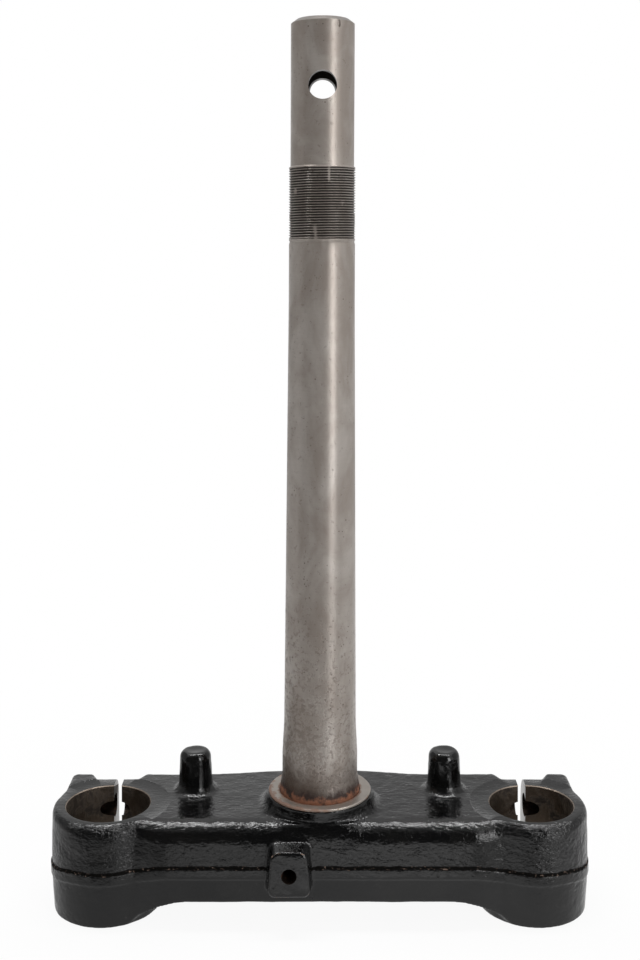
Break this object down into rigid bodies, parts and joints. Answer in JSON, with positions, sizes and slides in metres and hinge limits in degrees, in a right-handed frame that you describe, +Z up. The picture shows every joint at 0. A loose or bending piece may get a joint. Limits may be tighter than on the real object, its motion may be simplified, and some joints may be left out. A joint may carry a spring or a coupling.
{
  "type": "motorcycle triple clamp",
  "caption": "Lower triple clamp: a forged, black-painted beam with a split fork clamp at each end, steering stops and a long hollow steel steering stem with a washer at its foot.",
  "frame": {"origin": "on the steering axis, level with the upper face of the washer that the lower bearing sits on", "axes": "+Z up the steering stem, X across the fork tubes, +Y towards the slits and pinch bolts at the back"},
  "size_m": [0.2136, 0.0605, 0.3486],
  "materials": {
    "black_paint": "gloss black paint over a forged skin, chipped to bare steel on edges, with bare machined bores",
    "bare_steel": "turned bare steel, stained and pitted, with rust at the foot",
    "washer_steel": "dull bare steel with patches of rust"
  },
  "bodies": {
    "root": {"lower_yoke": "black_paint", "steering_stem": "bare_steel", "dust_washer": "washer_steel"}
  },
  "joints": []
}
